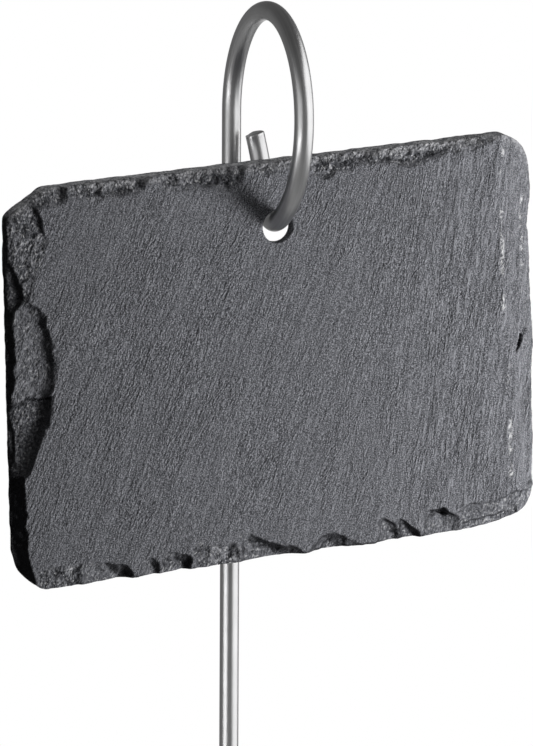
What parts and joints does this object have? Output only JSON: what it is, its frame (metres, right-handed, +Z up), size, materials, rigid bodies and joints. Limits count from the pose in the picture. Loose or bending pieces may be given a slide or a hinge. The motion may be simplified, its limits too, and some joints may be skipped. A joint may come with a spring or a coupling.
{
  "type": "plant label stake",
  "caption": "Garden label stake: a chipped slate tag hangs by its drilled hole on the ring of a bent steel wire rod, swings there, and the rod pushes into soil.",
  "frame": {"origin": "on the straight rod's axis, at the soil line", "axes": "+Z up along the rod, -Y towards the front of the tag, +X to the right seen from the front"},
  "size_m": [0.1081, 0.0415, 0.3],
  "materials": {
    "steel_wire": "satin stainless steel wire with fine drawing lines",
    "slate": "split natural slate, matt, with chipped edges"
  },
  "bodies": {
    "stake": {"wire_stake": "steel_wire"},
    "tag": {"slate_tag": "slate"}
  },
  "joints": [
    {"name": "tag_swing", "type": "hinge", "parent": "stake", "child": "tag", "pos_m": [0.00095, -0.01995, 0.1499], "axis": [0.0898, -0.9862, -0.1392], "range_deg": [-65, 60]}
  ]
}
